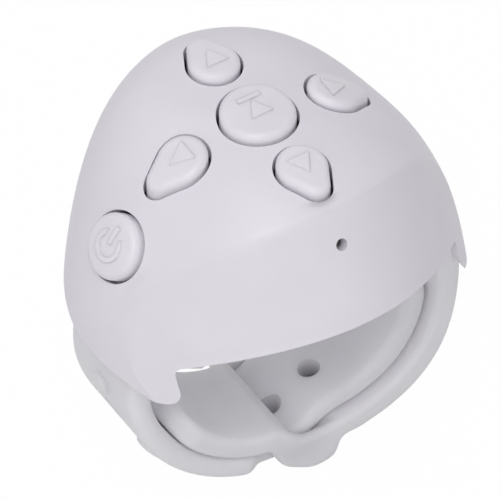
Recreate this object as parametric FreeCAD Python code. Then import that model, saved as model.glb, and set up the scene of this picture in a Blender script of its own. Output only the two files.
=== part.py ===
# Ring remote: a domed pod with six keys on an adjustable two-strap finger band.
# Frame: X to the wearer's right, Y back along the finger, Z up. Millimetres.
# Z = 0 is the flat under the band's rib, X = 0 the middle plane of the pod.
import math
import os

import FreeCAD, Part
from FreeCAD import Vector as V

os.makedirs("parts", exist_ok=True)

# Pod dome: half width, reach to the front and back of its middle, and height over the datum.
LIFT = 18.6
MIDDLE_Y = 4.525
DOME_HALF = 17.3
DOME_FRONT = 21.2
DOME_BACK = 14.25
DOME_HIGH = 19.6
DOME_MID_Y = 5.3
DOME_LEAN = 0.051
PLAN_POWER = 1.68
SIDE_POWER = 2.16
BACK_POWER = 6.0
FRONT_POWER = 2.9
WALL = 1.2

# Front face: foot position, lean and bow, and the arched lower edges.
FACE_Y = -10.4
FACE_Z = 9.34
FACE_LEAN = 0.549
FACE_BOW = 0.05
FACE_FROM = -6.0
FACE_TALL = 34.0
VISOR_RISE = 9.34
VISOR_BOW = 0.021
VISOR_BACK = -3.0
SADDLE_RISE = 7.2
SADDLE_BOW = 0.013
LOBE_WIDE = 3.9
LOBE_X = DOME_HALF - LOBE_WIDE
SADDLE_HALF = LOBE_X - 0.15
LOBE_ROUND = 0.9
LOBE_TIP = 1.5
LOBE_LOW = 2.4
SKIRT_Z = 2.95
SKIRT_TILT = 11.5

# Reach past the pod of the blocks that cut it, and points on a drawn arch.
FAR = 40.0
HIGH = 30.0
PAST = 4.0
ARCH_STEPS = 12

# Keys on the dome.
KEY_Y = 5.05
KEY_PROUD = 0.7
KEY_GAP = 0.25
KEY_ROUND = 0.6
KEY_TRAVEL = 0.3
OK_RADIUS = 3.08
PETAL_RADIUS = 2.1
PETAL_TIP = 1.2
PETAL_REACH = 1.9
PETAL_SIDE = 7.6
PETAL_FRONT = 6.9
PETAL_REAR = 6.9
FLANGE_LIP = 0.22
FLANGE_THICK = 0.5
ICON_PROUD = 0.16
ICON_RADIUS = 1.15
ICON_INWARD = 0.5
BAR_LONG = 2.1
BAR_WIDE = 0.4
BAR_OFF = 1.15
MARK_BACK = 0.15
MARK_SINK = 0.4
PETAL_MARK_SINK = 0.6
PETAL_LIP_SHARE = 0.6
RIM_RISE = 0.3

# Power key on the left flank.
POWER_Y = 4.65
POWER_Z = 12.7
POWER_RADIUS = 2.7
POWER_PROUD = 0.75
POWER_RING = 1.35
POWER_LINE = 0.4
POWER_STEM = 0.7
POWER_STEM_LONG = 1.3
POWER_LIP = 0.35
POWER_SINK = 0.4
POWER_FLANGE_TOP = 0.38
POWER_FLANGE_LOW = 0.8
POWER_STEM_TOP = 0.7
POWER_HOLE_DEEP = 1.2
POWER_BAR_SHARE = 1.15
POWER_MARK_SINK = 0.2

# Pinhole in the front face and the light guide behind it.
PIN_Z = 15.36
PIN_RADIUS = 0.5
PIN_RECESS = 1.0
GUIDE_RADIUS = 0.42
GUIDE_LIP = 0.75
GUIDE_LIP_THICK = 0.4

# Stack inside the pod, heights over the datum.
FLOOR_TOP = 8.5
SIDE_FLOOR_TOP = 6.4
SIDE_FLOOR_X = DOME_HALF - 7.9
FRONT_FLOOR_TOP = 10.8
FRONT_FLOOR_Y = -6.2
BOARD_LOW = 12.0
BOARD_THICK = 0.8
DISC_THICK = 0.22
DISC_METAL = 0.11
DISC_RADIUS = 2.0
MAT_LOW = 13.1
MAT_THICK = 0.4
FIT = 0.1
CLEAR = 0.3

# Outline of the board and of the keypad mat.
BOARD_X = DOME_HALF - 6.0
BOARD_FRONT = -6.6
BOARD_BACK = 15.9
MAT_X = BOARD_X - 0.9
MAT_FRONT = -4.9
MAT_BACK = 14.4
NUB_RADIUS = 0.9
NUB_TALL = 0.15

# Charging socket.
USB_WIDE = 8.94
USB_HIGH = 3.2
USB_DEEP = 6.3
USB_WALL = 0.28
USB_BACK_WALL = 0.6
USB_DROP = 1.72
TONGUE_HALF = 3.2
TONGUE_THICK = 0.66
TONGUE_SHORT = 0.7

# Small parts on the board: middle x and y, size in x and y, height.
RADIO_CHIP = (-2.7, -3.35, 3.2, 3.1, 0.75)
CRYSTAL = (1.4, -3.6, 2.0, 1.6, 0.5)
CHIP_ANTENNA = (BOARD_X - 1.3, 7.0, 1.2, 3.2, 0.6)
STATUS_LED = (0.0, -5.9, 1.0, 0.8, 0.45)
SWITCH_X = 1.2 - BOARD_X
SWITCH_WIDE = 1.6
SWITCH_LONG = 3.4
SWITCH_LOW = 9.55
PLUNGER_RADIUS = 0.75
PLUNGER_LONG = 1.3

# Screws and cell.
SCREW_X = DOME_HALF - 10.2
SCREW_FRONT = -2.8
SCREW_REAR = 13.4
SCREW_RADIUS = 0.7
BOSS_RADIUS = 1.3
HEAD_RADIUS = 1.3
HEAD_TOP = 7.5
HEAD_UP = 0.05
SHAFT_LONG = 4.0
PILOT_MORE = 0.2
PILOT_EASE = 0.05
SCREW_EASE = 0.15
CROSS_LONG = 1.8
CROSS_WIDE = 0.32
CROSS_DEEP = 0.4
CELL_X = DOME_HALF - 8.8
CELL_FRONT = -1.2
CELL_BACK = 11.2
CELL_LOW = 8.75
CELL_HIGH = 2.5
CELL_ROUND = 0.45
PAD_X = CELL_X - 1.5
PAD_FRONT = 0.0
PAD_BACK = 10.0
SKIN_GAP = 0.08
LEAD_X = 3.6
LEAD_APART = 1.1
LEAD_Z = 10.2
LEAD_OUT = 0.4
LEAD_BEND = 0.9
LEAD_RADIUS = 0.3

# Band: outer guide line of the two straps.
BAND_LEFT = DOME_HALF - 2.1
BAND_RIGHT = DOME_HALF - 0.5
BAND_DEEP = 16.7
BAND_LEFT_POWER = 1.88
BAND_RIGHT_POWER = 3.1
BAND_Y = 0.2
BAND_WIDE = 9.6
STRAP = 2.05
LAYER_GAP = 0.15
ROOT_CURVE = 0.012
ROOT_FROM = -4.0
ROOT_TOP = 6.6
ROOT_X = DOME_HALF - 3.95
FLARE_LOW = 0.5
FLARE_HIGH = 5.0
BEAD_HALF = 1.1
BEAD_TALL = 1.5
RIB_DEEP = 1.9
TONGUE_SIDE = 1.0
TONGUE_MORE = 0.6
KEEPER_MORE = 1.6
KEEPER_FROM = -2.1
KEEPER_LONG = 2.0
TAPER_TOP = 1.0
TAPER_LOW = -5.0
TONGUE_RISE = 2.3
SLOT_GAP = 0.25
SLOT_SKIN = 0.2
SLOT_LEFT = 0.4
SLOT_LOW_LEFT = 0.8
NECK_FROM = -4.2
NECK_LONG = 2.6
HOLE_RADIUS = 0.95
HOLE_FIRST = 188.8
HOLE_STEP = 14.2
HOLE_COUNT = 8
PEG_HOLE = 3
PEG_RADIUS = 0.78
PEG_HEAD = 1.45
PEG_HEAD_HIGH = 0.7
STRAP_EDGE = 0.85

# Angles round the band, in degrees from +X through +Z: ends, rise, step and slot.
LEFT_FROM = 180.5
LEFT_TO = 346.0
LEFT_STEPS = 36
RIGHT_FROM = 359.5
RIGHT_TO = 210.0
RIGHT_STEPS = 40
RISE_FROM = 270.5
RISE_TO = 291.0
RIB_FROM = 266.0
RIB_FULL = 279.0
RIB_FALL = 283.0
RIB_END = 288.5
STEP_OUT_FROM = 262.0
STEP_OUT_TO = 270.0
STEP_IN_FROM = 264.5
STEP_IN_TO = 279.0
SLOT_FROM = 261.0
SLOT_TO = 293.0
SLOT_STEPS = 12
LEFT_END_ROUND = 2.4
RIGHT_END_ROUND = 3.4
MOUTH_LONG = 1.6
MOUTH_LOW = -15.0
MOUTH_HIGH = -9.0
LOW_MOUTH_FROM = -4.0
LOW_MOUTH_LOW = -22.0
LOW_MOUTH_HIGH = -15.5
HOLE_OUT = 4.0
HOLE_IN = 7.5
PEG_PAST = 0.6
PEG_LIFT = 0.15
PEG_FOOT = 0.2
BEAD_FRONT = 0.7
BEAD_BACK = 0.9
BEAD_SINK = 0.05
BEAD_ROUND = 0.5

# Clamp bars over the strap roots, and the stakes that hold them.
CLAMP_IN = 3.65
CLAMP_OUT = 0.55
CLAMP_LOW = 8.3
CLAMP_TOP = 9.1
CLAMP_FRONT = 0.3
CLAMP_BACK = 0.4
CLAMP_ROUND = 0.8
STAKE_IN = 3.0
STAKE_FROM_EDGE = 1.4
STAKE_RADIUS = 0.5
STAKE_EASE = 0.06
STAKE_SINK = 0.5
STAKE_TALL = 3.6
ROOM_OUT = DOME_HALF + 0.2
ROOM_IN = ROOT_X - 3.85
ROOM_LOW = -3.0
ROOM_TOP = 9.0

# Slope that opens the base cover's front under the visor.
VISOR_LIP = 0.2
SLOPE_FOOT_Y = -4.5
SLOPE_FRONT_Y = -30.0

INSET = LAYER_GAP + STRAP
BAND_MID = BAND_Y + BAND_WIDE / 2
BOARD_TOP = BOARD_LOW + BOARD_THICK
MAT_TOP = MAT_LOW + MAT_THICK
FLANGE_LOW = MAT_TOP + KEY_TRAVEL + 0.1
FLANGE_TOP = FLANGE_LOW + FLANGE_THICK


def box(x0, x1, y0, y1, z0, z1):
    return Part.makeBox(x1 - x0, y1 - y0, z1 - z0, V(x0, y0, z0))


def rod(radius, start, direction, length):
    return Part.makeCylinder(radius, length, start, direction)


def join(shapes):
    out = shapes[0]
    for item in shapes[1:]:
        out = out.fuse(item)
    return out.removeSplitter()


def cut(shape, tools):
    for tool in tools:
        shape = shape.cut(tool)
    return shape


def soften(shape, edges, radius):
    # Rounds the edges, with a smaller radius where the wanted one does not fit.
    for factor in (1.0, 0.8, 0.6, 0.4, 0.25):
        try:
            out = shape.makeFillet(radius * factor, edges)
            if out.isValid() and out.Volume > 0:
                return out
        except Exception:
            pass
    print("left sharp", len(edges))
    return shape


whole = FreeCAD.BoundBox()


def save(shape, name):
    shape = shape.copy()
    shape.translate(V(0, -MIDDLE_Y, LIFT))
    if len(shape.Solids) == 1:
        shape = shape.Solids[0]
    print(name, "solids", len(shape.Solids), "valid", shape.isValid(), round(shape.Volume, 2))
    shape.exportStep("parts/" + name + ".step")
    whole.add(shape.BoundBox)


def dome_point(angle, tilt, grow):
    # One point of the dome: angle round the pod, tilt 0 at the top to a right angle at the rim.
    c, s = math.cos(angle), math.sin(angle)
    reach = (DOME_BACK if s > 0 else DOME_FRONT) + grow
    end_power = BACK_POWER if s > 0 else FRONT_POWER
    power = SIDE_POWER * c * c + end_power * s * s
    half = DOME_HALF + grow
    size = (abs(c / half) ** PLAN_POWER + abs(s / reach) ** PLAN_POWER) ** (-1 / PLAN_POWER)
    out, up = math.sin(tilt), max(math.cos(tilt), 0.0)
    r = (out ** power + up ** power) ** (-1 / power)
    x, y = size * c * r * out, size * s * r * out
    high = (DOME_HIGH + grow) * r * up
    return V(x, DOME_MID_Y + y, high + DOME_LEAN * y * (1 - (r * out) ** 4))


RING_POINTS = 40
ROWS = 18
TOP_RADIUS = 0.8


def dome(grow):
    # Solid under the dome surface, grown outward by the given amount.
    turns = [2 * math.pi * i / RING_POINTS - math.pi / 4 for i in range(RING_POINTS)]
    net = []
    for turn in turns:
        row = []
        for k in range(ROWS):
            row.append(dome_point(turn, math.pi / 2 * (1 - k / ROWS), grow))
        y = TOP_RADIUS * math.sin(turn)
        high = DOME_HIGH + grow + DOME_LEAN * y
        row.append(V(TOP_RADIUS * math.cos(turn), DOME_MID_Y + y, high))
        net.append(row)
    around = list(range(RING_POINTS + 1))
    upward = list(range(ROWS - 1))
    ends = [4] + [1] * (len(upward) - 2) + [4]
    surface = Part.BSplineSurface()
    surface.buildFromPolesMultsKnots(net, [1] * len(around), ends, around, upward, True, False, 3, 3)
    wall = surface.toShape()
    faces = [wall]
    for edge in wall.Edges:
        if edge.isClosed():
            faces.append(Part.Face(Part.Wire([edge])))
    shell = Part.makeShell(faces)
    shell.sewShape()
    solid = Part.Solid(shell)
    if solid.Volume < 0:
        solid.reverse()
    return solid


def dome_half_at(y, z, grow):
    # Half width of the dome at a given depth and height near its middle.
    lift = abs(z / (DOME_HIGH + grow)) ** SIDE_POWER
    back = DOME_BACK if y > DOME_MID_Y else DOME_FRONT
    plan = abs((y - DOME_MID_Y) / (back + grow)) ** PLAN_POWER
    return (DOME_HALF + grow) * (1 - lift) ** (1 / SIDE_POWER) * (1 - plan) ** (1 / PLAN_POWER)


def arch_below(rise, bow, y0, y1):
    # Everything under the arch z = rise - bow * x * x between two depths.
    span = DOME_HALF + PAST
    points = []
    for i in range(ARCH_STEPS + 1):
        x = -span + 2 * span * i / ARCH_STEPS
        points.append(V(x, y0, rise - bow * x * x))
    curve = Part.BSplineCurve()
    curve.interpolate(points)
    low = -LIFT * 2
    a, b = points[0], points[-1]
    sides = Part.makePolygon([b, V(b.x, y0, low), V(a.x, y0, low), a])
    wire = Part.Wire([curve.toShape()] + sides.Edges)
    return Part.Face(wire).extrude(V(0, y1 - y0, 0))


def front_cutter(back_by):
    # Everything ahead of the leaning, bowed front face, moved back by a wall.
    span = DOME_HALF + PAST
    foot = FACE_Y + back_by + FACE_LEAN * (FACE_FROM - FACE_Z)
    points = []
    for i in range(ARCH_STEPS + 1):
        x = -span + 2 * span * i / ARCH_STEPS
        points.append(V(x, foot + FACE_BOW * x * x, FACE_FROM))
    curve = Part.BSplineCurve()
    curve.interpolate(points)
    ahead = -FAR * 1.5
    a, b = points[0], points[-1]
    sides = Part.makePolygon([b, V(b.x, ahead, FACE_FROM), V(a.x, ahead, FACE_FROM), a])
    wire = Part.Wire([curve.toShape()] + sides.Edges)
    return Part.Face(wire).extrude(V(0, FACE_LEAN * FACE_TALL, FACE_TALL))


def petal_plan(turn, away, grow, z0, z1):
    # Teardrop prism: round end at the pod's middle, small end pointing outward.
    r1, r2 = PETAL_RADIUS + grow, PETAL_TIP + grow
    slope = math.acos((r1 - r2) / PETAL_REACH)
    start = V(r1 * math.cos(slope), r1 * math.sin(slope), 0)
    tip = V(PETAL_REACH + r2 * math.cos(slope), r2 * math.sin(slope), 0)
    low_tip, low_start = V(tip.x, -tip.y, 0), V(start.x, -start.y, 0)
    wire = Part.Wire([
        Part.LineSegment(start, tip).toShape(),
        Part.Arc(tip, V(PETAL_REACH + r2, 0, 0), low_tip).toShape(),
        Part.LineSegment(low_tip, low_start).toShape(),
        Part.Arc(low_start, V(-r1, 0, 0), start).toShape(),
    ])
    solid = Part.Face(wire).extrude(V(0, 0, z1 - z0))
    back = PETAL_REACH / 2 - (r1 - r2) / 2
    solid.translate(V(away - back, 0, z0))
    solid.rotate(V(0, 0, 0), V(0, 0, 1), turn)
    solid.translate(V(0, KEY_Y, 0))
    return solid


def triangle(cx, cy, turn, z0, z1):
    corners = []
    for k in range(3):
        a = math.radians(turn + 120 * k)
        corners.append(V(cx + ICON_RADIUS * math.cos(a), cy + ICON_RADIUS * math.sin(a), z0))
    return Part.Face(Part.makePolygon(corners + [corners[0]])).extrude(V(0, 0, z1 - z0))


outer = dome(0.0)
inner = dome(-WALL)
proud = dome(KEY_PROUD)
icon_skin = dome(KEY_PROUD + ICON_PROUD)
face_cut = front_cutter(0.0)
cavity = inner.cut(front_cutter(WALL / math.cos(math.atan(FACE_LEAN))))
saddle_cut = arch_below(SADDLE_RISE, SADDLE_BOW, -FAR, FAR)
visor_cut = arch_below(VISOR_RISE, VISOR_BOW, -FAR, VISOR_BACK)
visor_span = box(-LOBE_X, LOBE_X, -FAR, VISOR_BACK, -LIFT, LIFT)
visor_notch = visor_cut.common(visor_span)
notch_tops = []
for e in visor_notch.Edges:
    b = e.BoundBox
    if abs(abs(b.XMin) - LOBE_X) < 0.01 and b.YLength > 10 and b.ZMin > 0:
        notch_tops.append(e)
visor_notch = soften(visor_notch, notch_tops, LOBE_ROUND)
for side_sign in (-1, 1):
    # Round the foot of each lobe on its inner side.
    xs = sorted((side_sign * (LOBE_X - 0.1), side_sign * (LOBE_X + LOBE_TIP)))
    corner = box(xs[0], xs[1], -FAR, VISOR_BACK, -LIFT, LOBE_LOW + LOBE_TIP)
    turn_at = V(side_sign * (LOBE_X + LOBE_TIP), -FAR, LOBE_LOW + LOBE_TIP)
    visor_notch = visor_notch.fuse(corner.cut(rod(LOBE_TIP, turn_at, V(0, 1, 0), FAR)))
saddle_span = box(-SADDLE_HALF, SADDLE_HALF, -FAR, FAR, -LIFT * 2, LIFT)
shell_saddle = saddle_cut.common(saddle_span)


def skirt_cutter(raised):
    # Everything under the sloping lower edge of the pod's sides.
    block = box(-FAR, FAR, -FAR * 1.5, FAR * 1.5, -FAR, 0)
    block.rotate(V(0, 0, 0), V(1, 0, 0), SKIRT_TILT)
    block.translate(V(0, 0, SKIRT_Z + raised))
    return block


# Keys of the dome: name, turn of the petal, distance from the middle key.
petals = (("key_right", 0, PETAL_SIDE), ("key_back", 90, PETAL_REAR),
          ("key_left", 180, PETAL_SIDE), ("key_front", 270, PETAL_FRONT))
key_holes = [rod(OK_RADIUS + KEY_GAP, V(0, KEY_Y, FLANGE_LOW), V(0, 0, 1), HIGH)]
for name, turn, away in petals:
    key_holes.append(petal_plan(turn, away, KEY_GAP, FLANGE_LOW, HIGH))


def rim_edges(cap, core):
    # Edges round the crowned top: above the flange, not upright, not inside the core.
    out = []
    for e in cap.Edges:
        b = e.BoundBox
        upright = b.XLength < 0.01 and b.YLength < 0.01
        middle = e.valueAt((e.FirstParameter + e.LastParameter) / 2)
        if b.ZMin > FLANGE_TOP + RIM_RISE and not upright and not core.isInside(middle, 0.001, True):
            out.append(e)
    return out


def finish_key(prism, core, flange, icon, name):
    cap = prism.common(proud)
    cap = soften(cap, rim_edges(cap, core), KEY_ROUND)
    mark = icon.common(icon_skin)
    save(join([cap, flange, mark]), name)


def key_top_z(x, y):
    line = Part.makeLine(V(x, y, FLANGE_TOP), V(x, y, HIGH))
    return line.common(proud).BoundBox.ZMax


ok_prism = rod(OK_RADIUS, V(0, KEY_Y, FLANGE_LOW), V(0, 0, 1), HIGH)
ok_core = rod(OK_RADIUS - RIM_RISE, V(0, KEY_Y, FLANGE_LOW), V(0, 0, 1), HIGH)
ok_flange = rod(OK_RADIUS + KEY_GAP + FLANGE_LIP, V(0, KEY_Y, FLANGE_LOW), V(0, 0, 1), FLANGE_THICK)
mark_low = key_top_z(0, KEY_Y) - MARK_SINK
bar_y = KEY_Y + BAR_OFF
ok_mark = triangle(0, KEY_Y - MARK_BACK, 90, mark_low, HIGH)
ok_bar = box(-BAR_LONG / 2, BAR_LONG / 2, bar_y, bar_y + BAR_WIDE, mark_low, HIGH)
finish_key(ok_prism, ok_core, ok_flange, ok_mark.fuse(ok_bar), "key_ok")
ok_room = rod(OK_RADIUS + KEY_GAP + FLANGE_LIP + KEY_GAP, V(0, KEY_Y, 0), V(0, 0, 1), HIGH)
under_skin = dome(-WALL - FIT)
for name, turn, away in petals:
    prism = petal_plan(turn, away, 0.0, FLANGE_LOW, HIGH)
    flange = petal_plan(turn, away, KEY_GAP + FLANGE_LIP * PETAL_LIP_SHARE, FLANGE_LOW, FLANGE_TOP)
    flange = flange.common(under_skin).cut(ok_room)
    a = math.radians(turn)
    x, y = (away - ICON_INWARD) * math.cos(a), KEY_Y + (away - ICON_INWARD) * math.sin(a)
    mark_low = min(key_top_z(x + dx, y) for dx in (-ICON_RADIUS, ICON_RADIUS)) - PETAL_MARK_SINK
    core = petal_plan(turn, away, -RIM_RISE, FLANGE_LOW, HIGH)
    finish_key(prism, core, flange, triangle(x, y, turn, mark_low, HIGH), name)

# Power key: a disc across the flank, its axis square to the dome.
power_x = dome_half_at(POWER_Y, POWER_Z, 0.0)
nx = (power_x / DOME_HALF) ** (SIDE_POWER - 1) / DOME_HALF
nz = (POWER_Z / DOME_HIGH) ** (SIDE_POWER - 1) / DOME_HIGH
power_out = V(-nx, 0, nz)
power_out.normalize()
power_at = V(-power_x, POWER_Y, POWER_Z)
print("power key at", power_at, "axis", power_out)


def power_rod(radius, s0, s1):
    return rod(radius, power_at + power_out * s0, power_out, s1 - s0)


power_hole = power_rod(POWER_RADIUS + KEY_GAP, -WALL - POWER_HOLE_DEEP, PAST)
power_cap = power_rod(POWER_RADIUS, -WALL - POWER_SINK, PAST).common(dome(POWER_PROUD))
rim = [e for e in power_cap.Edges if (e.CenterOfMass - power_at).dot(power_out) > 0.0]
power_cap = soften(power_cap, rim, KEY_ROUND)
flange_radius = POWER_RADIUS + KEY_GAP + POWER_LIP
power_flange = power_rod(flange_radius, -WALL - POWER_FLANGE_LOW, -WALL - POWER_FLANGE_TOP)
power_flange = power_flange.common(box(-FAR, 0, -FAR, FAR, -FAR, POWER_Z + CLEAR))
power_flange = power_flange.common(under_skin)
power_stem = power_rod(POWER_STEM, -WALL - POWER_STEM_LONG, -WALL - POWER_STEM_TOP)
ring_mark = power_rod(POWER_RING, POWER_MARK_SINK, PAST).cut(power_rod(POWER_RING - POWER_LINE, 0, PAST))
up = V(power_out.z, 0, -power_out.x)
if up.z < 0:
    up = up * -1
side = V(0, 1, 0)
gap_block = Part.makeBox(4 * POWER_LINE, HIGH, HIGH)
place = FreeCAD.Placement(power_at, FreeCAD.Rotation(side, power_out, up, "XYZ"))
gap_block.Placement = place
gap_block.translate(side * (-2 * POWER_LINE))
bar_block = Part.makeBox(POWER_LINE, PAST, POWER_RING * POWER_BAR_SHARE)
bar_block.Placement = place
bar_rise = POWER_RING * (POWER_BAR_SHARE - 1)
bar_block.translate(side * (-POWER_LINE / 2) + up * bar_rise + power_out * POWER_MARK_SINK)
power_mark = ring_mark.cut(gap_block).fuse(bar_block).common(dome(POWER_PROUD + ICON_PROUD))
save(join([power_cap, power_flange, power_stem, power_mark]), "key_power")

# Upper shell: outer dome cut by the front face and the arched lower edges, then hollowed.
skin = outer.cut(face_cut)
skin = cut(skin, [shell_saddle, visor_notch, skirt_cutter(0.0)])
shell = cut(skin, [cavity, power_hole] + key_holes)
pin_y = FACE_Y + FACE_LEAN * (PIN_Z - FACE_Z)
face_in = V(0, 1, -FACE_LEAN)
face_in.normalize()
pin_at = V(0, pin_y, PIN_Z)
shell = shell.cut(rod(PIN_RADIUS, pin_at - face_in * WALL, face_in, WALL * 3))
port_z = BOARD_LOW - USB_DROP


def port_plan(grow, y0, y1):
    h = USB_HIGH / 2 + grow
    w = USB_WIDE / 2 + grow - h
    mid = box(-w, w, y0, y1, port_z - h, port_z + h)
    ends = [rod(h, V(x, y0, port_z), V(0, 1, 0), y1 - y0) for x in (-w, w)]
    return join([mid] + ends)


shell = shell.cut(port_plan(FIT, CELL_BACK, HIGH))
screws = [(x * SCREW_X, y) for x in (-1, 1) for y in (SCREW_FRONT, SCREW_REAR)]
inner_face_cut = front_cutter(WALL / math.cos(math.atan(FACE_LEAN)))
for x, y in screws:
    boss = rod(BOSS_RADIUS, V(x, y, FLOOR_TOP + FIT), V(0, 0, 1), HIGH).common(inner)
    shell = shell.fuse(boss.cut(inner_face_cut))
for x, y in screws:
    shell = shell.cut(rod(SCREW_RADIUS + PILOT_EASE, V(x, y, 0), V(0, 0, 1), FLOOR_TOP + SHAFT_LONG + PILOT_MORE))
save(shell, "upper_shell")

# Base cover: fills the mouth of the shell and carries the strap roots.
inside = dome(-WALL - FIT).cut(front_cutter((WALL + FIT) / math.cos(math.atan(FACE_LEAN))))
floor = box(-SIDE_FLOOR_X, SIDE_FLOOR_X, -FAR, FAR, -FAR, FLOOR_TOP)
side_floor = box(-FAR, FAR, -FAR, FAR, -FAR, SIDE_FLOOR_TOP)
front_floor = box(-FAR, FAR, -FAR, FRONT_FLOOR_Y, -FAR, FRONT_FLOOR_TOP)
cover = inside.common(join([floor, side_floor, front_floor]))
slope = [V(-FAR, SLOPE_FRONT_Y, -LIFT), V(-FAR, SLOPE_FRONT_Y, 20), V(-FAR, FACE_Y + WALL, VISOR_RISE),
         V(-FAR, SLOPE_FOOT_Y, SADDLE_RISE - VISOR_LIP), V(-FAR, SLOPE_FOOT_Y, -LIFT)]
flare_cut = Part.Face(Part.makePolygon(slope + slope[:1])).extrude(V(FAR * 2, 0, 0))
flare_cut = flare_cut.common(visor_cut)
cover = cut(cover, [saddle_cut, flare_cut, skirt_cutter(CLEAR)])
for x, y in screws:
    cover = cover.cut(rod(SCREW_RADIUS + SCREW_EASE, V(x, y, 0), V(0, 0, 1), HIGH))
    cover = cover.cut(rod(HEAD_RADIUS + SCREW_EASE, V(x, y, 0), V(0, 0, 1), HEAD_TOP + FIT))


# Band.
def ease(value, start, end):
    # Smooth step from 0 at start to 1 at end.
    t = min(max((value - start) / (end - start), 0), 1)
    return t * t * (3 - 2 * t)


def root_pull(half, z):
    # How far a strap's outer line leans in under the pod at a height.
    if z < ROOT_FROM:
        return 0.0
    bend = ROOT_CURVE * (z - ROOT_FROM) ** 2
    full = half - ROOT_X - ROOT_CURVE * (ROOT_TOP - ROOT_FROM) ** 2
    return bend + full * ease(z, FLARE_LOW, FLARE_HIGH)


def guide(angle, inset):
    # Point of the band's outer guide line, moved inward by the inset.
    a = math.radians(angle)
    c, s = math.cos(a), math.sin(a)
    side_half, power = (BAND_LEFT, BAND_LEFT_POWER) if c < 0 else (BAND_RIGHT, BAND_RIGHT_POWER)
    half, deep = side_half - inset, BAND_DEEP - inset
    r = (abs(c / half) ** power + abs(s / deep) ** power) ** (-1 / power)
    x, z = r * c, r * s
    return V(x - math.copysign(root_pull(side_half, z), x), 0, z)


def root_line(side_sign, inset):
    # Points above the datum, from the root's top down.
    half = BAND_LEFT if side_sign < 0 else BAND_RIGHT
    points = []
    steps = 6
    for i in range(steps):
        z = ROOT_TOP * (1 - i / steps)
        points.append(V(side_sign * (half - inset - root_pull(half, z)), 0, z))
    return points


def left_inset(angle):
    # Outer face of the strap with holes: outside the band, then inside it past the slot.
    return TONGUE_RISE * ease(angle, RISE_FROM, RISE_TO)


def left_inner(angle):
    return left_inset(angle) + STRAP


def slot_outer(angle):
    return left_inset(angle) - SLOT_SKIN


def slot_inner(angle):
    return left_inset(angle) + STRAP + SLOT_SKIN


def right_outer(angle):
    # Outer face of the slotted strap: inside the band, then outside it with a rib at the slot.
    rib = -RIB_DEEP * ease(angle, RIB_FROM, RIB_FULL) * ease(angle, RIB_END, RIB_FALL)
    return rib + INSET * ease(angle, STEP_OUT_TO, STEP_OUT_FROM)


def right_inner(angle):
    return STRAP + INSET * ease(angle, STEP_IN_TO, STEP_IN_FROM)


def ribbon(side_sign, angles, outer_of, inner_of, y0, y1):
    # Strap body: an outer and an inner line, drawn across the band.
    low = [guide(a, outer_of(a)) for a in angles]
    top = [guide(a, inner_of(a)) for a in angles]
    if side_sign:
        low = root_line(side_sign, 0.0) + low
        top = root_line(side_sign, STRAP) + top
    wires = []
    for points in (low, top):
        curve = Part.BSplineCurve()
        curve.interpolate(points)
        wires.append(curve.toShape())
    caps = [Part.makeLine(low[0], top[0]), Part.makeLine(low[-1], top[-1])]
    face = Part.Face(Part.Wire(Part.__sortEdges__(wires + caps)))
    body = face.extrude(V(0, y1 - y0, 0))
    body.translate(V(0, y0, 0))
    return body, low[-1], top[-1]


def turns(a0, a1, steps):
    return [a0 + (a1 - a0) * i / steps for i in range(steps + 1)]


def strap_edges(body, y0, y1):
    # Long edges of a strap whose sides step in: every edge on a side wall that is not across it.
    out = []
    for e in body.Edges:
        b = e.BoundBox
        across = b.YLength > BAND_WIDE / 2
        through = max(b.XLength, b.ZLength) < STRAP * 1.1 and b.YLength < 0.01
        near_side = min(abs(b.YMin - y0), abs(y1 - b.YMax)) < KEEPER_MORE + 0.01
        if near_side and not across and not through and b.ZMax < ROOT_TOP - 0.01 or b.XLength > 12:
            out.append(e)
    return out


def end_edges(body, a, b):
    # The two edges through the strap's thickness at its free end.
    mid = (a + b) * 0.5
    out = []
    for e in body.Edges:
        c = e.CenterOfMass
        if abs(c.x - mid.x) < 0.3 and abs(c.z - mid.z) < 0.3 and e.BoundBox.YLength < 0.01:
            out.append(e)
    return out


def normal_rod(angle, inset_a, inset_b, radius):
    # A round bar across the strap, square to the guide line.
    p, q = guide(angle - 0.5, 0.0), guide(angle + 0.5, 0.0)
    along = (q - p).normalize()
    out = V(along.z, 0, -along.x)
    at = guide(angle, 0.0)
    if out.dot(at) < 0:
        out = out * -1
    start = at - out * inset_b
    start.y = BAND_MID
    return rod(radius, start, out, inset_b - inset_a)


def bead(side_sign, y0, y1):
    top, other = root_line(side_sign, 0.0)[0], root_line(side_sign, STRAP)[0]
    mid = (top.x + other.x) / 2
    block = box(mid - BEAD_HALF, mid + BEAD_HALF, y0, y1, ROOT_TOP - BEAD_SINK, ROOT_TOP + BEAD_TALL)
    return soften(block, [e for e in block.Edges if e.BoundBox.ZLength > 1], BEAD_ROUND)


def shoulder(x_wide, x_slim, y_wide, y_slim):
    # Trims one side of a strap: a smooth shoulder of two arcs, then straight on past x_slim.
    run, step = x_slim - x_wide, y_slim - y_wide
    turn_radius = (run ** 2 + step ** 2) / (4 * abs(step))
    half_turn = math.asin(abs(run) / 2 / turn_radius) / 2
    dx = math.copysign(turn_radius * math.sin(half_turn), run)
    dy = math.copysign(turn_radius * (1 - math.cos(half_turn)), step)
    far = x_slim + math.copysign(BAND_RIGHT * 2, run)
    out_y = y_wide - math.copysign(3, step)
    a, b = V(x_wide, y_wide, 0), V(x_slim, y_slim, 0)
    m = (a + b) * 0.5
    corners = [b, V(far, y_slim, 0), V(far, out_y, 0), V(x_wide, out_y, 0), a]
    edges = [Part.Arc(a, V(x_wide + dx, y_wide + dy, 0), m).toShape(),
             Part.Arc(m, V(x_slim - dx, y_slim - dy, 0), b).toShape()]
    edges += Part.makePolygon(corners).Edges
    block = Part.Face(Part.Wire(edges)).extrude(V(0, 0, LIFT * 2))
    block.translate(V(0, 0, -LIFT * 1.5))
    return block


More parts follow.
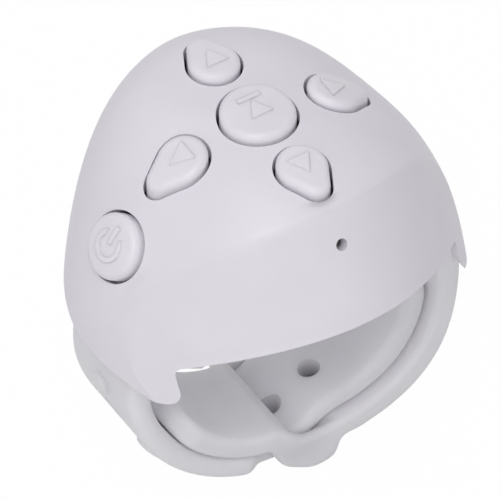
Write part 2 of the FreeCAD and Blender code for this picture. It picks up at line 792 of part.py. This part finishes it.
y0, y1 = BAND_Y, BAND_Y + BAND_WIDE
tongue_y0, tongue_y1, keeper_y1 = y0 + TONGUE_SIDE, y1 + TONGUE_MORE, y1 + KEEPER_MORE
neck_to, keeper_to = NECK_FROM + NECK_LONG, KEEPER_FROM + KEEPER_LONG
left_body, la, lb = ribbon(-1, turns(LEFT_FROM, LEFT_TO, LEFT_STEPS), left_inset, left_inner,
                           y0, tongue_y1)
left_body = cut(left_body, [shoulder(NECK_FROM, neck_to, y0, tongue_y0),
                            shoulder(neck_to, NECK_FROM, tongue_y1, y1)])
left_body = soften(left_body, end_edges(left_body, la, lb), LEFT_END_ROUND)
left_body = soften(left_body, strap_edges(left_body, y0, tongue_y1), STRAP_EDGE)
for k in range(HOLE_COUNT):
    left_body = left_body.cut(normal_rod(HOLE_FIRST + k * HOLE_STEP, -HOLE_OUT, HOLE_IN, HOLE_RADIUS))
left_strap = join([left_body, bead(-1, y0 + BEAD_FRONT, y1 - BEAD_BACK)])
save(left_strap, "strap_holes")

right_body, ra, rb = ribbon(1, turns(RIGHT_FROM, RIGHT_TO, RIGHT_STEPS), right_outer, right_inner,
                            y0, keeper_y1)
right_body = right_body.cut(shoulder(keeper_to, KEEPER_FROM, keeper_y1, y1))
# The wide side tapers back to the root's width on its way up to the pod.
taper = [V(0, y1, HIGH), V(0, y1, TAPER_TOP), V(0, keeper_y1, TAPER_LOW), V(0, HIGH, TAPER_LOW), V(0, HIGH, HIGH)]
taper_cut = Part.Face(Part.makePolygon(taper + taper[:1])).extrude(V(HIGH, 0, 0))
right_body = right_body.cut(taper_cut)
right_body = soften(right_body, end_edges(right_body, ra, rb), RIGHT_END_ROUND)
right_body = soften(right_body, strap_edges(right_body, y0, keeper_y1), STRAP_EDGE)
slot_y0, slot_y1 = tongue_y0 - SLOT_GAP, tongue_y1 + SLOT_GAP
tunnel = ribbon(0, turns(SLOT_FROM, SLOT_TO, SLOT_STEPS), slot_outer, slot_inner, slot_y0, slot_y1)[0]
mouth = box(SLOT_LEFT, SLOT_LEFT + MOUTH_LONG, slot_y0, slot_y1, MOUTH_LOW, MOUTH_HIGH)
lower_mouth = box(LOW_MOUTH_FROM, SLOT_LOW_LEFT, slot_y0, slot_y1, LOW_MOUTH_LOW, LOW_MOUTH_HIGH)
right_body = cut(right_body, [tunnel, mouth, lower_mouth])
peg_angle = HOLE_FIRST + PEG_HOLE * HOLE_STEP
peg = normal_rod(peg_angle, -PEG_FOOT, INSET + PEG_PAST, PEG_RADIUS)
head = normal_rod(peg_angle, -PEG_LIFT - PEG_HEAD_HIGH, -PEG_LIFT, PEG_HEAD)
right_strap = join([right_body, peg, head, bead(1, y0 + BEAD_FRONT, y1 - BEAD_BACK)])
save(right_strap, "strap_slot")
print("left/right overlap", left_strap.common(right_strap).Volume)


# Strap roots pass through the base cover; stakes on it hold the clamp bars.
def root_room(side_sign, gap, wide):
    outer_line = root_line(side_sign, -gap)
    inner_line = root_line(side_sign, STRAP + gap)
    foot_out = V(side_sign * ROOM_OUT, 0, ROOM_LOW)
    foot_in = V(side_sign * ROOM_IN, 0, ROOM_LOW)
    loop = [V(outer_line[0].x, 0, ROOM_TOP)] + outer_line + [foot_out, foot_in] + inner_line[::-1]
    loop += [V(inner_line[0].x, 0, ROOM_TOP), V(outer_line[0].x, 0, ROOM_TOP)]
    room = Part.Face(Part.makePolygon(loop)).extrude(V(0, wide + 2 * gap, 0))
    room.translate(V(0, BAND_Y - gap, 0))
    return room


stake_y = (BAND_Y + STAKE_FROM_EDGE, BAND_Y + BAND_WIDE - STAKE_FROM_EDGE)
stake_x = ROOT_X - STAKE_IN
clamp_y = (BAND_Y + CLAMP_FRONT, BAND_Y + BAND_WIDE - CLAMP_BACK)
cover = cover.cut(root_room(-1, LAYER_GAP, BAND_WIDE))
cover = cover.cut(root_room(1, LAYER_GAP, BAND_WIDE + KEEPER_MORE))
for side_sign, name in ((-1, "clamp_left"), (1, "clamp_right")):
    xs = sorted((side_sign * (ROOT_X - CLAMP_IN), side_sign * (ROOT_X - CLAMP_OUT)))
    bar = box(xs[0], xs[1], clamp_y[0], clamp_y[1], CLAMP_LOW, CLAMP_TOP)
    bar = soften(bar, [e for e in bar.Edges if e.BoundBox.ZLength > 0.5], CLAMP_ROUND)
    for y in stake_y:
        foot = V(side_sign * stake_x, y, SIDE_FLOOR_TOP - STAKE_SINK)
        cover = cover.fuse(rod(STAKE_RADIUS, foot, V(0, 0, 1), STAKE_TALL))
        bar = bar.cut(rod(STAKE_RADIUS + STAKE_EASE, foot, V(0, 0, 1), HIGH))
    save(bar, name)
save(cover, "base_cover")
for (x, y), name in zip(screws, ("screw_front_left", "screw_rear_left", "screw_front_right", "screw_rear_right")):
    saddle_z = SADDLE_RISE - SADDLE_BOW * (abs(x) + HEAD_RADIUS) ** 2 + HEAD_UP
    head = rod(HEAD_RADIUS, V(x, y, saddle_z), V(0, 0, 1), HEAD_TOP - saddle_z)
    long, wide = CROSS_LONG / 2, CROSS_WIDE / 2
    slot_a = box(x - long, x + long, y - wide, y + wide, saddle_z - 1, saddle_z + CROSS_DEEP)
    slot_b = box(x - wide, x + wide, y - long, y + long, saddle_z - 1, saddle_z + CROSS_DEEP)
    shaft = rod(SCREW_RADIUS, V(x, y, HEAD_TOP - FIT), V(0, 0, 1), FLOOR_TOP + SHAFT_LONG - HEAD_TOP)
    save(head.fuse(shaft).cut(slot_a).cut(slot_b), name)

# Board, snap discs and the silicone mat.
room = dome(-WALL - CLEAR).cut(front_cutter((WALL + CLEAR) / math.cos(math.atan(FACE_LEAN))))
board = room.common(box(-BOARD_X, BOARD_X, BOARD_FRONT, BOARD_BACK, BOARD_LOW, BOARD_TOP))
mat = room.common(box(-MAT_X, MAT_X, MAT_FRONT, MAT_BACK, MAT_LOW, MAT_TOP))
power_room = power_rod(POWER_RADIUS + KEY_GAP + POWER_LIP + CLEAR, -WALL - 1.5, 0)
board = board.cut(power_room)
mat = mat.cut(power_room)
for x, y in screws:
    around = rod(BOSS_RADIUS + CLEAR, V(x, y, 0), V(0, 0, 1), HIGH)
    board = board.cut(around)
    mat = mat.cut(around)
save(board, "main_board")
spots = [("ok", 0.0, KEY_Y)]
for name, turn, away in petals:
    a = math.radians(turn)
    spots.append((name[4:], (away - ICON_INWARD) * math.cos(a), KEY_Y + (away - ICON_INWARD) * math.sin(a)))
disc_top = DISC_RADIUS * 0.55
for name, x, y in spots:
    at = V(x, y, BOARD_TOP)
    disc = Part.makeCone(DISC_RADIUS, disc_top, DISC_THICK, at)
    disc = disc.cut(Part.makeCone(DISC_RADIUS - DISC_METAL, disc_top - DISC_METAL, DISC_THICK - DISC_METAL, at))
    save(disc, "snap_disc_" + name)
    mat = mat.fuse(rod(NUB_RADIUS, V(x, y, MAT_TOP - NUB_TALL), V(0, 0, 1), NUB_TALL * 1.4))
save(mat, "keypad_mat")

# Cell, foam pad and leads.
cell = box(-CELL_X, CELL_X, CELL_FRONT, CELL_BACK, CELL_LOW, CELL_LOW + CELL_HIGH)
save(soften(cell, cell.Edges, CELL_ROUND), "battery_cell")
pad_low = CELL_LOW + CELL_HIGH + SKIN_GAP
save(box(-PAD_X, PAD_X, PAD_FRONT, PAD_BACK, pad_low, BOARD_LOW - SKIN_GAP), "foam_pad")
for x, name in ((LEAD_X, "lead_plus"), (LEAD_X + LEAD_APART, "lead_minus")):
    # Straight out of the cell, one bend upward, straight to the board.
    y, z = CELL_FRONT - LEAD_OUT, LEAD_Z + LEAD_BEND
    bend = V(0, -LEAD_BEND * math.sin(math.pi / 4), -LEAD_BEND * math.cos(math.pi / 4))
    a, b = V(x, CELL_FRONT, LEAD_Z), V(x, y, LEAD_Z)
    c, d = V(x, y - LEAD_BEND, z), V(x, y - LEAD_BEND, BOARD_LOW)
    arc = Part.Arc(b, V(x, y, z) + bend, c).toShape()
    path = Part.Wire([Part.makeLine(a, b), arc, Part.makeLine(c, d)])
    ring = Part.Wire([Part.Circle(a, V(0, -1, 0), LEAD_RADIUS).toShape()])
    save(path.makePipeShell([ring], True, False), name)


# Parts on the board.
def block_on(sizes, z0, z1):
    x, y, long, wide = sizes[:4]
    return box(x - long / 2, x + long / 2, y - wide / 2, y + wide / 2, z0, z1)


for name, sizes in (("radio_chip", RADIO_CHIP), ("crystal", CRYSTAL), ("chip_antenna", CHIP_ANTENNA)):
    save(block_on(sizes, BOARD_LOW - sizes[4], BOARD_LOW), name)
save(block_on(STATUS_LED, BOARD_TOP, BOARD_TOP + STATUS_LED[4]), "status_led")
lip_at = WALL + SKIN_GAP
guide_rod = rod(GUIDE_RADIUS, pin_at + face_in * PIN_RECESS, face_in, lip_at + GUIDE_LIP_THICK - PIN_RECESS)
guide_lip = rod(GUIDE_LIP, pin_at + face_in * lip_at, face_in, GUIDE_LIP_THICK)
save(guide_rod.fuse(guide_lip), "light_guide")
switch_sizes = (SWITCH_X, POWER_Y, SWITCH_WIDE, SWITCH_LONG)
switch = block_on(switch_sizes, SWITCH_LOW, BOARD_LOW - SKIN_GAP / 4)
plunger_end = -WALL - POWER_STEM_LONG - KEY_TRAVEL - SKIN_GAP
plunger = power_rod(PLUNGER_RADIUS, plunger_end - PLUNGER_LONG, plunger_end)
save(switch.fuse(plunger), "power_switch")

# Charging socket under the rear of the board.
usb_front = CELL_BACK + 0.7
usb_back = usb_front + USB_DEEP
usb_shell = port_plan(0.0, usb_front, usb_back)
usb_shell = usb_shell.cut(port_plan(-USB_WALL, usb_front + USB_BACK_WALL, usb_back + 1))
save(usb_shell, "usb_shell")
tongue_y = (usb_front + USB_BACK_WALL, usb_back - TONGUE_SHORT)
tongue_z = (port_z - TONGUE_THICK / 2, port_z + TONGUE_THICK / 2)
save(box(-TONGUE_HALF, TONGUE_HALF, *tongue_y, *tongue_z), "usb_tongue")
print("whole", whole)
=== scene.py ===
# Ring remote on white: a matte domed pod with six keys on two soft straps.
import math

import bpy
from mathutils import Matrix, Vector

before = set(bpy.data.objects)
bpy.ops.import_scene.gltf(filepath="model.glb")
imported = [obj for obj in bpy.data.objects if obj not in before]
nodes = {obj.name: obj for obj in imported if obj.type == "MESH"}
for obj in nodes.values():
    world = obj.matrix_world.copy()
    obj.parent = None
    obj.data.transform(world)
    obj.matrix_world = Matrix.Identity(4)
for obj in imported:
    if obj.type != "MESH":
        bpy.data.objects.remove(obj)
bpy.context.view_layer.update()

MM = 0.001


def colour(r, g, b):
    # A colour as the eye reads it, 0 to 255, turned into linear light.
    out = []
    for value in (r, g, b):
        c = value / 255
        out.append(c / 12.92 if c <= 0.04045 else ((c + 0.055) / 1.055) ** 2.4)
    return (out[0], out[1], out[2], 1.0)


class Nodes:
    # Short ways to add shader nodes and join them.
    def __init__(self, tree):
        self.tree = tree
        self.count = 0

    def add(self, kind, **values):
        node = self.tree.nodes.new(kind)
        self.count += 1
        node.location = (-220 * self.count, 60 * (self.count % 5))
        for key, value in values.items():
            setattr(node, key, value)
        return node

    def feed(self, socket, value):
        # Joins the socket to another one, or sets its constant.
        if isinstance(value, bpy.types.NodeSocket):
            self.tree.links.new(value, socket)
        else:
            socket.default_value = value

    def calc(self, operation, *values):
        node = self.add("ShaderNodeMath", operation=operation)
        for socket, value in zip(node.inputs, values):
            self.feed(socket, value)
        return node.outputs["Value"]

    def remap(self, value, low, high, to_low=0.0, to_high=1.0, style="LINEAR"):
        node = self.add("ShaderNodeMapRange", interpolation_type=style)
        self.feed(node.inputs["Value"], value)
        node.inputs["From Min"].default_value = low
        node.inputs["From Max"].default_value = high
        node.inputs["To Min"].default_value = to_low
        node.inputs["To Max"].default_value = to_high
        return node.outputs["Result"]

    def noise(self, where, size, detail, roughness):
        node = self.add("ShaderNodeTexNoise")
        self.feed(node.inputs["Vector"], where)
        node.inputs["Scale"].default_value = 1 / (size * MM)
        node.inputs["Detail"].default_value = detail
        node.inputs["Roughness"].default_value = roughness
        return node.outputs["Fac"]

    def rounded(self, radius):
        # Normal of a surface with its edges rounded.
        node = self.add("ShaderNodeBevel", samples=EDGE_SAMPLES)
        node.inputs["Radius"].default_value = radius * MM
        return node.outputs["Normal"]


# What all moulded surfaces share: noise, tone drift, bump and soft light inside.
CLOUD_DETAIL, CLOUD_ROUGH = 5.0, 0.55
GRAIN_DETAIL, GRAIN_ROUGH = 3.0, 0.6
TONE_LOW, TONE_HIGH = 0.32, 0.68
GRAIN_LOW, GRAIN_HIGH = 0.3, 0.7
ROUGH_SPREAD = 0.06
CLOUD_SHARE = 6.0
BUMP_STRENGTH = 0.5
COAT_ROUGH = 0.3
SOFT_TINT = (1.0, 0.95, 0.9)
EDGE_SAMPLES = 8


def moulded(name, light, dark, rough=0.5, grain=0.16, depth=0.004, sheen=0.0, coat=0.0,
            soft=0.0, reach=0.6, metal=0.0, cloud=4.0):
    # A moulded surface: broad tone drift, fine grain in the bump, and roughness that varies.
    # grain, depth, reach and cloud are in millimetres.
    mat = bpy.data.materials.new(name)
    mat.use_nodes = True
    n = Nodes(mat.node_tree)
    skin = mat.node_tree.nodes["Principled BSDF"].inputs
    where = n.add("ShaderNodeTexCoord").outputs["Object"]
    broad = n.noise(where, cloud, CLOUD_DETAIL, CLOUD_ROUGH)
    tone = n.add("ShaderNodeValToRGB")
    for element, position, shade in zip(tone.color_ramp.elements, (TONE_LOW, TONE_HIGH), (dark, light)):
        element.position = position
        element.color = shade
    n.feed(tone.inputs["Fac"], broad)
    n.feed(skin["Base Color"], tone.outputs["Color"])
    fine = n.noise(where, grain, GRAIN_DETAIL, GRAIN_ROUGH)
    rough_low, rough_high = rough - ROUGH_SPREAD, rough + ROUGH_SPREAD
    n.feed(skin["Roughness"], n.remap(fine, GRAIN_LOW, GRAIN_HIGH, rough_low, rough_high))
    bump = n.add("ShaderNodeBump")
    bump.inputs["Strength"].default_value = BUMP_STRENGTH
    bump.inputs["Distance"].default_value = depth * MM
    n.feed(bump.inputs["Height"], n.calc("MULTIPLY_ADD", broad, CLOUD_SHARE, fine))
    n.feed(skin["Normal"], bump.outputs["Normal"])
    for key, value in (("Metallic", metal), ("Sheen Weight", sheen), ("Coat Weight", coat),
                       ("Coat Roughness", COAT_ROUGH), ("Subsurface Weight", soft),
                       ("Subsurface Radius", SOFT_TINT), ("Subsurface Scale", reach * MM)):
        skin[key].default_value = value
    return mat


def bump_of(mat):
    return next(node for node in mat.node_tree.nodes if node.type == "BUMP")


def round_crease(mat, reach, radius):
    # Rounds the light on the crease of the leaning front face, which the mould breaks softly.
    # Points within reach of the face's plane get a rounded normal, apart from the pinhole
    # and the crisp lower edge of the visor.
    n = Nodes(mat.node_tree)
    where = n.add("ShaderNodeTexCoord").outputs["Object"]
    split = n.add("ShaderNodeSeparateXYZ")
    n.feed(split.inputs["Vector"], where)
    x, y, z = (split.outputs[axis] for axis in "XYZ")
    side = n.calc("MULTIPLY", x, x)
    bowed = n.calc("MULTIPLY_ADD", side, FACE_BOW / MM, (FACE_Y - FACE_LEAN * FACE_Z) * MM)
    behind = n.calc("SUBTRACT", y, n.calc("MULTIPLY_ADD", z, FACE_LEAN, bowed))
    near = n.remap(behind, reach * CREASE_FULL * MM, reach * MM, 1.0, 0.0)
    pin = n.add("ShaderNodeVectorMath", operation="DISTANCE")
    n.feed(pin.inputs[0], where)
    pin.inputs[1].default_value = PINHOLE
    away = n.remap(pin.outputs["Value"], radius * PIN_KEEP * MM, radius * PIN_FADE * MM)
    arch = n.calc("MULTIPLY_ADD", side, VISOR_BOW / MM, z)
    above = n.remap(arch, (VISOR_Z + VISOR_KEEP) * MM, (VISOR_Z + VISOR_FADE) * MM, style="SMOOTHSTEP")
    share = n.calc("MULTIPLY", near, n.calc("MULTIPLY", away, above))
    blend = n.add("ShaderNodeMix", data_type="VECTOR")
    n.feed(blend.inputs["Factor"], share)
    n.feed(blend.inputs["A"], n.add("ShaderNodeNewGeometry").outputs["Normal"])
    n.feed(blend.inputs["B"], n.rounded(radius))
    unit = n.add("ShaderNodeVectorMath", operation="NORMALIZE")
    n.feed(unit.inputs[0], blend.outputs["Result"])
    n.feed(bump_of(mat).inputs["Normal"], unit.outputs["Vector"])


def show_relief(mat, reach, shade, radius):
    # Softens the edges of the raised signs on the keys and paints shade into the key colour at the
    # corners at their feet.
    n = Nodes(mat.node_tree)
    base = mat.node_tree.nodes["Principled BSDF"].inputs["Base Color"]
    tone = base.links[0].from_socket
    # Painted shade: ambient occlusion darkens the base colour in the corners at the feet of the signs.
    painted_shade_ao = n.add("ShaderNodeAmbientOcclusion", samples=EDGE_SAMPLES, only_local=True)
    painted_shade_ao.inputs["Distance"].default_value = reach * MM
    shaded = n.add("ShaderNodeVectorMath", operation="SCALE")
    n.feed(shaded.inputs[0], tone)
    n.feed(shaded.inputs["Scale"], n.remap(painted_shade_ao.outputs["AO"], PAINTED_SHADE_LOW, PAINTED_SHADE_HIGH, shade, 1.0))
    n.feed(base, shaded.outputs["Vector"])
    n.feed(bump_of(mat).inputs["Normal"], n.rounded(radius))


# Front face of the pod in the part's frame, in millimetres: place, lean and bow, the arch of its
# lower edge, and the pinhole in it.
FACE_Y = -14.925
FACE_Z = 27.94
FACE_LEAN = 0.549
FACE_BOW = 0.05
VISOR_Z = 27.94
VISOR_BOW = 0.021
PINHOLE = (0.0, -11.62 * MM, 33.96 * MM)

# Where the rounded crease is at full strength and where it fades: as shares of its reach and
# radius, and in millimetres over the visor's edge. Then the occlusion range for the shade painted into
# the key colour at the feet of the signs.
CREASE_FULL = 0.6
PIN_KEEP, PIN_FADE = 1.2, 1.7
VISOR_KEEP, VISOR_FADE = 0.2, 1.8
PAINTED_SHADE_LOW, PAINTED_SHADE_HIGH = 0.4, 0.97

shell_white = moulded("shell_white", colour(233, 230, 236), colour(229, 226, 233),
                      rough=0.41, grain=0.13, depth=0.016, cloud=7.0)
round_crease(shell_white, reach=1.4, radius=1.6)
key_white = moulded("key_white", colour(236, 233, 238), colour(232, 229, 235),
                    rough=0.4, grain=0.11, depth=0.01, soft=0.35, reach=0.4, cloud=3.0)
# The keys get shade painted into their colour at the feet of the raised signs.
show_relief(key_white, reach=0.4, shade=0.86, radius=0.14)
cover_white = moulded("cover_white", colour(224, 224, 226), colour(219, 219, 222),
                      rough=0.5, grain=0.13, depth=0.006, cloud=6.0)
silicone = moulded("silicone", colour(244, 243, 246), colour(240, 239, 242),
                   rough=0.52, grain=0.12, depth=0.014, soft=0.9, reach=2.2, sheen=0.05, cloud=5.0)
bar_grey = moulded("bar_grey", colour(150, 152, 156), colour(140, 142, 147),
                   rough=0.45, cloud=2.0)
steel = moulded("steel", colour(190, 192, 195), colour(170, 172, 176), rough=0.32,
                grain=0.05, depth=0.002, metal=1.0, cloud=1.0)
board_green = moulded("board_green", colour(36, 92, 62), colour(28, 78, 52), rough=0.42,
                      grain=0.2, depth=0.006, coat=0.3, cloud=1.5)
mat_grey = moulded("mat_grey", colour(196, 198, 200), colour(186, 188, 191), rough=0.55, soft=0.1)
cell_wrap = moulded("cell_wrap", colour(176, 180, 186), colour(158, 163, 170), rough=0.3,
                    metal=0.6, cloud=2.5)
foam = moulded("foam", colour(72, 74, 78), colour(52, 54, 58), rough=0.9, grain=0.35, depth=0.08,
               cloud=0.8)
wire_red = moulded("wire_red", colour(178, 40, 34), colour(160, 34, 30), rough=0.45, cloud=1.0)
wire_black = moulded("wire_black", colour(34, 34, 36), colour(26, 26, 28), rough=0.45, cloud=1.0)
chip_black = moulded("chip_black", colour(40, 41, 44), colour(32, 33, 36), rough=0.5, grain=0.05,
                     depth=0.004, cloud=0.8)
ceramic = moulded("ceramic", colour(214, 208, 196), colour(200, 194, 182), rough=0.4, cloud=0.8)
lamp_clear = moulded("lamp_clear", colour(208, 214, 218), colour(198, 205, 210), rough=0.25,
                     coat=0.6, cloud=0.8)
smoked = moulded("smoked", colour(70, 64, 62), colour(58, 52, 50), rough=0.3, coat=0.4, cloud=0.8)
socket_black = moulded("socket_black", colour(30, 31, 34), colour(24, 25, 28), rough=0.4, cloud=1.0)

finish = {
    "upper_shell": shell_white,
    "base_cover": cover_white,
    "strap_holes": silicone,
    "strap_slot": silicone,
    "clamp_left": bar_grey,
    "clamp_right": bar_grey,
    "main_board": board_green,
    "keypad_mat": mat_grey,
    "battery_cell": cell_wrap,
    "foam_pad": foam,
    "lead_plus": wire_red,
    "lead_minus": wire_black,
    "radio_chip": chip_black,
    "crystal": steel,
    "chip_antenna": ceramic,
    "status_led": lamp_clear,
    "light_guide": smoked,
    "power_switch": chip_black,
    "usb_shell": steel,
    "usb_tongue": socket_black,
}
for name, obj in nodes.items():
    if name.startswith("key_"):
        skin = key_white
    elif name.startswith("screw_") or name.startswith("snap_disc_"):
        skin = steel
    else:
        skin = finish[name]
    if not obj.material_slots:
        obj.data.materials.append(skin)
    for slot in obj.material_slots:
        slot.material = skin

# Camera: the photograph's place and angle, from far off with a long lens.
AZIMUTH = math.radians(32.8)
ELEVATION = math.radians(45.3)
FAR = 510 * MM
LENS_PIXELS = 6324
FRAME_PIXELS = 500
SENSOR_WIDE = 36
SHIFT_RIGHT = -3.35 * MM
SHIFT_UP = 6.15 * MM
POD_ORIGIN = Vector((0, -4.525 * MM, 18.6 * MM))
UPWARD = Vector((0, 0, 1))
toward = Vector((-math.sin(AZIMUTH) * math.cos(ELEVATION),
                 -math.cos(AZIMUTH) * math.cos(ELEVATION), math.sin(ELEVATION)))
right = Vector((math.cos(AZIMUTH), -math.sin(AZIMUTH), 0))
up = toward.cross(right)
eye = POD_ORIGIN + toward * FAR + right * SHIFT_RIGHT + up * SHIFT_UP
lens = bpy.data.cameras.new("camera")
lens.sensor_width = SENSOR_WIDE
lens.lens = LENS_PIXELS * SENSOR_WIDE / FRAME_PIXELS
lens.clip_start = 0.01
lens.clip_end = 10
camera = bpy.data.objects.new("camera", lens)
bpy.context.scene.collection.objects.link(camera)
turn = Matrix((right, up, toward)).transposed().to_4x4()
camera.matrix_world = Matrix.Translation(eye) @ turn
bpy.context.scene.camera = camera

# Soft studio light: a broad lamp overhead, one from just above the camera, and a weak low one
# that reaches the inside of the band. Each has its direction, width in metres, watts and tint.
level = Vector((toward.x, toward.y, 0)).normalized()
LAMP_FAR = 0.6
LAMPS = (
    ("lamp_main", level * 0.15 - right * 0.15 + UPWARD * 1.2, 0.3, 0.4, (1.0, 0.99, 1.0)),
    ("lamp_front", toward + up * 0.2 - right * 0.08, 0.24, 1.02, (1.0, 0.99, 1.0)),
    ("lamp_low", level - right * 0.3 + UPWARD * 0.35, 0.24, 0.25, (1.0, 1.0, 0.99)),
)
for name, direction, width, watts, tint in LAMPS:
    data = bpy.data.lights.new(name, "AREA")
    data.shape = "DISK"
    data.size = width
    data.energy = watts
    data.color = tint
    lamp = bpy.data.objects.new(name, data)
    bpy.context.scene.collection.objects.link(lamp)
    out = direction.normalized()
    lamp.location = POD_ORIGIN + out * LAMP_FAR
    lamp.rotation_euler = out.to_track_quat("Z", "Y").to_euler()

WHITE = (1.0, 1.0, 1.0, 1.0)
ROOM_TINT = (0.97, 0.965, 1.0, 1.0)
ROOM_LIGHT = 0.465

# World: a soft room that lights the part, and white to the camera, to mirrors and through glass.
world = bpy.data.worlds.new("world")
bpy.context.scene.world = world
world.use_nodes = True
world.node_tree.nodes.clear()
w = Nodes(world.node_tree)


def background(tint, strength):
    node = w.add("ShaderNodeBackground")
    node.inputs["Color"].default_value = tint
    node.inputs["Strength"].default_value = strength
    return node.outputs["Background"]


ray = w.add("ShaderNodeLightPath").outputs
seen = w.calc("MAXIMUM", ray["Is Camera Ray"],
              w.calc("MAXIMUM", ray["Is Glossy Ray"], ray["Is Transmission Ray"]))
both = w.add("ShaderNodeMixShader")
w.feed(both.inputs["Fac"], seen)
w.feed(both.inputs[1], background(ROOM_TINT, ROOM_LIGHT))
w.feed(both.inputs[2], background(WHITE, 1.0))
w.feed(w.add("ShaderNodeOutputWorld").inputs["Surface"], both.outputs["Shader"])

# Pale floor: nearly white to the camera, with a trace of the part's shadow.
FLOOR_HALF = 3.0
FLOOR_DROP = 0.2 * MM
FLOOR_GREY = (0.8, 0.8, 0.8, 1.0)
FLOOR_GLOW = 1.008
FLOOR_SHARE = 0.97
floor_data = bpy.data.meshes.new("floor")
corners = [(-FLOOR_HALF, -FLOOR_HALF, 0), (FLOOR_HALF, -FLOOR_HALF, 0),
           (FLOOR_HALF, FLOOR_HALF, 0), (-FLOOR_HALF, FLOOR_HALF, 0)]
floor_data.from_pydata(corners, [], [(0, 1, 2, 3)])
floor = bpy.data.objects.new("floor", floor_data)
floor.location.z = -FLOOR_DROP
bpy.context.scene.collection.objects.link(floor)
pale = bpy.data.materials.new("pale_floor")
pale.use_nodes = True
pale.node_tree.nodes.clear()
f = Nodes(pale.node_tree)
matte = f.add("ShaderNodeBsdfDiffuse")
matte.inputs["Color"].default_value = FLOOR_GREY
glow = f.add("ShaderNodeEmission")
glow.inputs["Color"].default_value = WHITE
glow.inputs["Strength"].default_value = FLOOR_GLOW
ray = f.add("ShaderNodeLightPath").outputs
direct = f.calc("MAXIMUM", ray["Is Camera Ray"], ray["Is Glossy Ray"])
mixed = f.add("ShaderNodeMixShader")
f.feed(mixed.inputs["Fac"], f.calc("MULTIPLY", direct, FLOOR_SHARE))
f.feed(mixed.inputs[1], matte.outputs["BSDF"])
f.feed(mixed.inputs[2], glow.outputs["Emission"])
f.feed(f.add("ShaderNodeOutputMaterial").inputs["Surface"], mixed.outputs["Shader"])
floor_data.materials.append(pale)

bpy.context.scene.view_settings.view_transform = "Standard"
